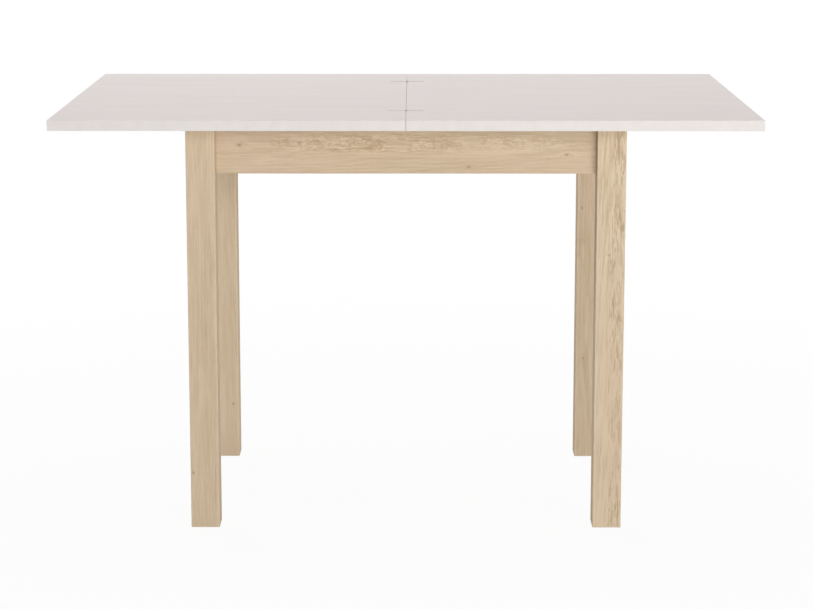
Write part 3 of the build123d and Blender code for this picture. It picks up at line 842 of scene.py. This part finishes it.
def turned(name, profile, steps=ROUND_STEPS):
    """Turns a profile of radius and height round Z."""
    shape = bmesh.new()
    verts = [shape.verts.new((radius, 0.0, height)) for radius, height in profile]
    edges = [shape.edges.new(pair) for pair in zip(verts, verts[1:])]
    turn = {"cent": (0, 0, 0), "axis": (0, 0, 1), "angle": math.tau}
    bmesh.ops.spin(shape, geom=verts + edges, steps=steps, use_merge=True, **turn)
    bmesh.ops.remove_doubles(shape, verts=shape.verts, dist=SAME_POINT)
    return mesh_from(shape, name)


def cut_shape(mesh, tool, operation="DIFFERENCE"):
    """The mesh less the tool, or what they share."""
    body = bpy.data.objects.new("cut_body", mesh)
    cutter = bpy.data.objects.new("cut_tool", tool)
    for piece in (body, cutter):
        bpy.context.scene.collection.objects.link(piece)
    step = body.modifiers.new("cut", "BOOLEAN")
    step.operation = operation
    step.solver = "EXACT"
    step.object = cutter
    result = bpy.data.meshes.new_from_object(body.evaluated_get(bpy.context.evaluated_depsgraph_get()))
    for piece in (body, cutter):
        bpy.data.objects.remove(piece)
    return result


def wedge(half_length, half_width, top, bottom, taper):
    """Four-sided plug along Z, narrower at its bottom."""
    rings = []
    for height, share in ((top, 1.0), (bottom, taper)):
        rings.append([(sx * half_length * share, sy * half_width * share, height) for sx, sy in SQUARE])
    return skinned("wedge", rings)


# Shares of a screw head's radius
RECESS_REACH = 0.62
RECESS_HALF_SLOT = 0.13
RECESS_DEPTH = 0.6
COUNTERSUNK_RIM = 0.08

RECESS_TAPER = 0.35
PAN_FLANK = 0.35  # of the head's height
CROWN_STEPS = 6


def cross_recess(mesh, head_radius, head_top):
    """Cuts a crosswise driver recess into a screw head."""
    reach = RECESS_REACH * head_radius
    half_slot = RECESS_HALF_SLOT * head_radius
    depth = RECESS_DEPTH * head_radius
    for half_length, half_width in ((reach, half_slot), (half_slot, reach)):
        plug = wedge(half_length, half_width, head_top + depth, head_top - depth, RECESS_TAPER)
        mesh = cut_shape(mesh, plug)
    return mesh


def countersunk_screw(head_radius, shank_radius, length):
    """Countersunk screw with its flat head at the high end."""
    rim = COUNTERSUNK_RIM * head_radius
    cone_foot = length - (head_radius - shank_radius)
    profile = [(0.0, length), (head_radius - rim, length), (head_radius, length - rim)]
    profile += [(shank_radius, cone_foot), (shank_radius, shank_radius), (0.0, 0.0)]
    return cross_recess(turned("countersunk_screw", profile), head_radius, length)


def pan_head_screw(head_radius, head_height, shank_radius, length):
    """Pan head screw with its domed head at the high end."""
    seat = length - head_height
    flank = seat + PAN_FLANK * head_height
    dome = length - flank
    profile = [(0.0, length)]
    for step in range(1, CROWN_STEPS):
        turn = math.pi / 2 * (1 - step / CROWN_STEPS)
        profile.append((head_radius * math.cos(turn), flank + dome * math.sin(turn)))
    profile += [(head_radius, flank), (head_radius, seat), (shank_radius, seat)]
    profile += [(shank_radius, shank_radius), (0.0, 0.0)]
    return cross_recess(turned("pan_head_screw", profile), head_radius, length)


THREAD_DEPTH = 0.55  # of the pitch
THREAD_SIDES = 24
THREAD_ROWS = 6  # for each turn


def threaded_bar(radius, length, plain_length, pitch):
    """Bar along Z with a plain low end and a thread from there to its high end."""
    step = pitch / THREAD_ROWS
    rows = [0.0, plain_length]
    rows += [plain_length + step * i for i in range(1, int((length - plain_length) / step))]
    rows.append(length)
    rings = []
    for height in rows:
        ring = []
        for side in range(THREAD_SIDES):
            turn = side / THREAD_SIDES
            groove = abs(2 * ((height / pitch - turn) % 1.0) - 1.0)
            if height <= plain_length:
                groove = 0.0
            if height == length:
                groove = 1.0
            reach = radius - THREAD_DEPTH * pitch * groove
            angle = math.tau * turn
            ring.append((reach * math.cos(angle), reach * math.sin(angle), height))
        rings.append(ring)
    return skinned("threaded_bar", rings)


NUT_FACE = 0.95  # of the nut's half width over its flats
NUT_LEAD = 0.12  # of its bore
NUT_CHAMFER_ANGLE = math.radians(30)
NUT_SIDES = 6
NUT_STEPS = 48


def hexagon_nut(corner_radius, bore_radius, height):
    """Hexagon nut along Z with chamfered corners and a countersunk bore."""
    face = NUT_FACE * corner_radius * math.cos(math.pi / NUT_SIDES)
    chamfer = (corner_radius - face) * math.tan(NUT_CHAMFER_ANGLE)
    lead = NUT_LEAD * bore_radius
    profile = [
        (bore_radius, lead),
        (bore_radius + lead, 0.0),
        (face, 0.0),
        (corner_radius, chamfer),
        (corner_radius, height - chamfer),
        (face, height),
        (bore_radius + lead, height),
        (bore_radius, height - lead),
        (bore_radius, lead),
    ]
    low = -height
    high = 2 * height
    prism = turned("prism", [(0.0, low), (corner_radius, low), (corner_radius, high), (0.0, high)], NUT_SIDES)
    return cut_shape(turned("barrel", profile, NUT_STEPS), prism, "INTERSECT")


FELT_EDGE = 0.3  # of the strip's thinnest side
FELT_EDGE_STEPS = 3
FELT_LONG_EDGE = 0.1  # of its longest side; edges above that are divided
FELT_CUTS = 16
NAP_SIZE = 1.5 * MM
NAP_DEPTH = 0.25 * MM


def felt_strip(low, high, seed):
    """Pressed felt strip with soft edges and a slightly uneven nap."""
    size = high - low
    middle = (low + high) / 2
    shape = bmesh.new()
    bmesh.ops.create_cube(shape, size=1.0)
    bmesh.ops.transform(shape, matrix=Matrix.LocRotScale(middle, None, size), verts=shape.verts)
    soft = {"offset": FELT_EDGE * min(size), "segments": FELT_EDGE_STEPS, "profile": 0.5}
    bmesh.ops.bevel(shape, geom=list(shape.edges), affect="EDGES", **soft)
    long_edges = [edge for edge in shape.edges if edge.calc_length() > FELT_LONG_EDGE * max(size)]
    bmesh.ops.subdivide_edges(shape, edges=long_edges, cuts=FELT_CUTS, use_grid_fill=True)
    for vert in shape.verts:
        nap = noise.noise(vert.co / NAP_SIZE + Vector((seed, 0.0, 0.0)))
        inward = middle - vert.co
        inward.z = 0.0
        vert.co += inward.normalized() * NAP_DEPTH * (1 + nap)
    return mesh_from(shape, "felt_strip")


GLIDE_RIM = 0.5  # of the glide's thickness
GLIDE_RIM_ANGLES = (0.4, 0.8, 1.2, math.pi / 2)
GLIDE_STEPS = 40


def leg_glide(radius, thickness, stem_radius, height):
    """Round glide with an eased rim and its stem."""
    ease = GLIDE_RIM * thickness
    profile = [(0.0, 0.0), (radius - ease, 0.0)]
    for turn in GLIDE_RIM_ANGLES:
        profile.append((radius - ease * (1 - math.sin(turn)), ease * (1 - math.cos(turn))))
    profile += [(radius, thickness), (stem_radius, thickness), (stem_radius, height), (0.0, height)]
    return turned("leg_glide", profile, GLIDE_STEPS)


def joined(name, meshes):
    """One mesh of several placed ones, smooth on its round faces."""
    shape = bmesh.new()
    for mesh, place in meshes:
        copy = mesh.copy()
        copy.transform(place)
        shape.from_mesh(copy)
        bpy.data.meshes.remove(copy)
    bmesh.ops.dissolve_degenerate(shape, dist=SLIVER, edges=list(shape.edges))
    mesh = bpy.data.meshes.new(name)
    shape.to_mesh(mesh)
    shape.free()
    mesh.shade_smooth()
    mesh.set_sharp_from_angle(angle=SMOOTH_ANGLE)
    return mesh


# Pieces that stand in for plain CAD nodes


UP = Vector((0, 0, 1))
DOWN = Vector((0, 0, -1))


def new_piece(name, mesh, material):
    """New object in the scene, with its finish."""
    piece = bpy.data.objects.new(name, mesh)
    piece.data.materials.append(material)
    bpy.context.scene.collection.objects.link(piece)
    return piece


def stand_in(name, node, meshes, material):
    """Piece that shows in place of a CAD node and moves with it."""
    piece = new_piece(name, joined(name, meshes), material)
    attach(piece, frame["nodes"][node]["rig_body"])
    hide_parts(node)
    return piece


def add_countersunk_screws(name, node, head_way, material):
    """Countersunk screws of one node, heads all the same way."""
    meshes = []
    for points in solids_of(node):
        bar = bar_along(points, head_way)
        screw = countersunk_screw(bar.radius, bar.low_end_radius(points), bar.length)
        meshes.append((screw, bar.place))
    stand_in(name, node, meshes, material)


def bracket_screw_way(points):
    """Way a rail bracket screw's head points: down under the rail, inwards on an apron."""
    low, high = box_of(points)
    span = high - low
    if span.z > span.y:
        return DOWN
    return Vector((0, -math.copysign(1, points[0].y), 0))


def add_rail_bracket_screws(material):
    """Pan head screws of the two rail brackets."""
    meshes = []
    for points in solids_of("rail_bracket_screws"):
        bar = bar_along(points, bracket_screw_way(points))
        shank = bar.low_end_radius(points)
        seat = min(height for radius, height in bar.profile(points) if radius > shank + SAME_POINT)
        screw = pan_head_screw(bar.radius, bar.length - seat, shank, bar.length)
        meshes.append((screw, bar.place))
    stand_in("rail_bracket_pan_screws", "rail_bracket_screws", meshes, material)


BOLT_PITCH = 1.25 * MM
BOLT_IN_LEG = 39 * MM


def bolt_way(points):
    """Way a hanger bolt points: from its leg in towards the middle of the table."""
    return Vector((-math.copysign(1, points[0].x), -math.copysign(1, points[0].y), 0)).normalized()


def add_hanger_bolts(material):
    """Hanger bolts with their machine thread, and the nuts on them."""
    bolts = [bar_along(points, bolt_way(points)) for points in solids_of("hanger_bolts")]
    nuts = [bar_along(points, bolt_way(points)) for points in solids_of("hanger_bolt_nuts")]
    bolt = threaded_bar(bolts[0].radius, bolts[0].length, BOLT_IN_LEG, BOLT_PITCH)
    nut = hexagon_nut(nuts[0].radius, bolts[0].radius, nuts[0].length)
    stand_in("threaded_hanger_bolts", "hanger_bolts", [(bolt, bar.place) for bar in bolts], material)
    stand_in("hanger_bolt_hexagon_nuts", "hanger_bolt_nuts", [(nut, bar.place) for bar in nuts], material)


FELT_PRESSED = 0.05 * MM  # how far the leaves press the nap down
NAP_SEED_STEP = 7.0


def add_felt_pads(material):
    """Felt strips that the leaves slide on."""
    meshes = []
    for count, points in enumerate(solids_of("slide_pads")):
        low, high = box_of(points)
        high.z -= FELT_PRESSED
        meshes.append((felt_strip(low, high, NAP_SEED_STEP * count), Matrix()))
    pads = stand_in("felt_slide_pads", "slide_pads", meshes, material)


def add_leg_glides(material):
    """Round glides under the legs."""
    meshes = []
    for points in solids_of("leg_glides"):
        bar = bar_along(points, UP)
        stem = bar_along(points, DOWN).low_end_radius(points)
        rim = max(height for radius, height in bar.profile(points) if radius > bar.radius - SAME_POINT)
        meshes.append((leg_glide(bar.radius, rim, stem, bar.length), bar.place))
    stand_in("round_leg_glides", "leg_glides", meshes, material)


SEAM_LIP_CLEARANCE = 0.03 * MM
SEAM_LIP_DEPTH = 4 * MM  # from both faces of the leaf
SEAM_LIP_END = 1.2 * MM  # in from the front and rear edges


def add_seam_lip(material):
    """Thin lip along the folding leaf's seam edge, which closes the seam when the leaves lie open."""
    low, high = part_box("folding_leaf_edging")
    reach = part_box("turning_leaf_edging")[0].x - high.x - SEAM_LIP_CLEARANCE
    foot = low.z + SEAM_LIP_DEPTH
    crest = high.z - SEAM_LIP_DEPTH
    outline = [(0.0, foot), (reach, foot + reach), (reach, crest - reach), (0.0, crest)]
    ends = (low.y + SEAM_LIP_END, high.y - SEAM_LIP_END)
    rings = [[(high.x + x, y, z) for x, z in outline] for y in ends]
    lip = new_piece("folding_leaf_seam_lip", skinned("folding_leaf_seam_lip", rings), material)
    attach(lip, "folding_leaf")


# Dressing the table


def dress(material, *nodes):
    """Gives CAD nodes their finish."""
    for node in nodes:
        for slot in frame["nodes"][node].material_slots:
            slot.material = material


for node, cut in OAK_CUTS.items():
    dress(pale_oak(node, cut), node)
# Closed, the folding leaf shows its underside as the table's top, so both its sides are faced
for node, cut in BOARD_CUTS.items():
    dress(white_board(node, cut, backed=node == "turning_leaf_board"), node)
edging = white_strip()
dress(edging, "turning_leaf_edging", "folding_leaf_edging")
add_seam_lip(edging)
dress(steamed_beech("pivot_rail", RAIL_CUT), "pivot_rail", "apron_dowels")

nickel = plated_steel("satin_nickel", SATIN_NICKEL)
dress(nickel, "rear_hinge_fixed_plate", "rear_hinge_folding_plate", "hinge_pins")
# Front hinge plates: the lighter copy of the nickel, as painted light
nickel_painted_lighter = plated_steel("nickel_painted_lighter", NICKEL_PAINTED_LIGHTER)
dress(nickel_painted_lighter, "front_hinge_fixed_plate", "front_hinge_folding_plate")
add_countersunk_screws("turning_side_hinge_screws", "fixed_plate_screws", UP, nickel)
add_countersunk_screws("folding_side_hinge_screws", "folding_plate_screws", UP, nickel)

zinc = plated_steel("zinc_plate", ZINC_PLATE)
for corner in ("front_left", "front_right", "rear_left", "rear_right"):
    dress(zinc, corner + "_corner_bracket")
dress(zinc, "front_rail_bracket", "rear_rail_bracket", "hanger_bolt_washers")
dress(zinc, "pivot_plate", "pivot_bolt", "pivot_washer", "pivot_spring_washer", "pivot_lock_nut")
add_countersunk_screws("pivot_plate_countersunk_screws", "pivot_plate_screws", DOWN, zinc)
add_rail_bracket_screws(zinc)
add_hanger_bolts(zinc)

nylon = moulded_nylon()
dress(nylon, "pivot_bush", "stop_peg")
add_leg_glides(nylon)
add_felt_pads(pressed_felt())


# Studio


FLOOR_HALF = 40.0
UNDER_GLIDES = 0.3 * MM
FLOOR_ROUGHNESS = 0.9
FLOOR_GLOW = 0.95  # share of the floor that shows as plain white to the camera, by the table
SHADOW_REACH = 0.9  # from the table's middle, where the floor starts to turn all white
WHITE_FROM = 2.4
ROOM_LIGHT = 0.30
ROOM_WHITE = (1.0, 1.0, 1.0, 1.0)


def seen_directly(w):
    """1 for the camera and for what metal mirrors, 0 for light that falls on the table."""
    path = w.add("ShaderNodeLightPath").outputs
    mirrored = w.math("MAXIMUM", path["Is Glossy Ray"], path["Is Transmission Ray"])
    return w.math("MAXIMUM", path["Is Camera Ray"], mirrored)


def pale_floor():
    """Plain pale floor that keeps the table's shadow. From below it is clear, to show the underside."""
    material, w, shader = new_finish("pale_floor")
    shader.inputs["Base Color"].default_value = FLOOR_WHITE
    shader.inputs["Roughness"].default_value = FLOOR_ROUGHNESS
    shader.inputs["Specular IOR Level"].default_value = 0.0
    glow = w.add("ShaderNodeEmission", {"Color": ROOM_WHITE, "Strength": 1.0}).outputs["Emission"]
    from_middle = w.vector("LENGTH", w.add("ShaderNodeTexCoord").outputs["Object"])
    far_out = w.slope(from_middle, SHADOW_REACH, WHITE_FROM)
    white = w.total(FLOOR_GLOW, w.times(far_out, 1.0 - FLOOR_GLOW))
    share = w.times(seen_directly(w), white)
    above = w.add("ShaderNodeMixShader", {0: share, 1: shader.outputs["BSDF"], 2: glow}).outputs["Shader"]
    clear = w.add("ShaderNodeBsdfTransparent").outputs["BSDF"]
    underneath = w.add("ShaderNodeNewGeometry").outputs["Backfacing"]
    one_sided = w.add("ShaderNodeMixShader", {0: underneath, 1: above, 2: clear}).outputs["Shader"]
    w.feed(material.node_tree.nodes["Material Output"].inputs["Surface"], one_sided)
    return material


def add_floor():
    """Floor just under the glides."""
    shape = bmesh.new()
    bmesh.ops.create_grid(shape, x_segments=1, y_segments=1, size=FLOOR_HALF)
    floor = new_piece("studio_floor", mesh_from(shape, "studio_floor"), pale_floor())
    floor.location.z = -UNDER_GLIDES


def light_room():
    """White room: full white where it is seen, softer where it lights the table."""
    world = bpy.data.worlds.new("white_room")
    world.use_nodes = True
    bpy.context.scene.world = world
    w = Wiring(world.node_tree)
    background = world.node_tree.nodes["Background"]
    background.inputs["Color"].default_value = ROOM_WHITE
    extra = w.times(seen_directly(w), 1.0 - ROOM_LIGHT)
    w.feed(background.inputs["Strength"], w.total(extra, ROOM_LIGHT))


class Softbox(NamedTuple):
    """A large soft lamp: its place, its sides and its power in watts."""

    place: tuple
    width: float
    height: float
    power: float


TABLE_MIDDLE = Vector((0.0, 0.0, 0.6))
SOFTBOXES = {
    "front_right_softbox": Softbox((2.6, -5.6, 1.15), 5.0, 2.2, 229.0),
    "rear_left_softbox": Softbox((-3.4, 7.0, 3.2), 6.4, 2.4, 255.0),
    "overhead_softbox": Softbox((0.0, 0.7, 3.6), 2.6, 2.6, 36.5),
}


def add_softbox(name, softbox):
    """Soft lamp that faces the table."""
    lamp = bpy.data.lights.new(name, "AREA")
    lamp.shape = "RECTANGLE"
    lamp.size = softbox.width
    lamp.size_y = softbox.height
    lamp.energy = softbox.power
    stand = bpy.data.objects.new(name, lamp)
    stand.location = softbox.place
    stand.rotation_euler = (TABLE_MIDDLE - Vector(softbox.place)).to_track_quat("-Z", "Y").to_euler()
    stand.visible_glossy = False
    bpy.context.scene.collection.objects.link(stand)


CAMERA_PLACE = (0.015, -4.53, 1.218)
CAMERA_DOWN_TILT = math.radians(10.84)
CAMERA_LEFT_TURN = math.radians(0.19)
CAMERA_LENS = 110.0


def add_camera():
    """Camera in front of the table, a little above it."""
    data = bpy.data.cameras.new("front_camera")
    data.lens = CAMERA_LENS
    camera = bpy.data.objects.new("front_camera", data)
    camera.location = CAMERA_PLACE
    camera.rotation_euler = (math.pi / 2 - CAMERA_DOWN_TILT, 0.0, CAMERA_LEFT_TURN)
    bpy.context.scene.collection.objects.link(camera)
    bpy.context.scene.camera = camera


add_floor()
light_room()
for name, softbox in SOFTBOXES.items():
    add_softbox(name, softbox)
add_camera()
bpy.context.scene.view_settings.view_transform = "Standard"
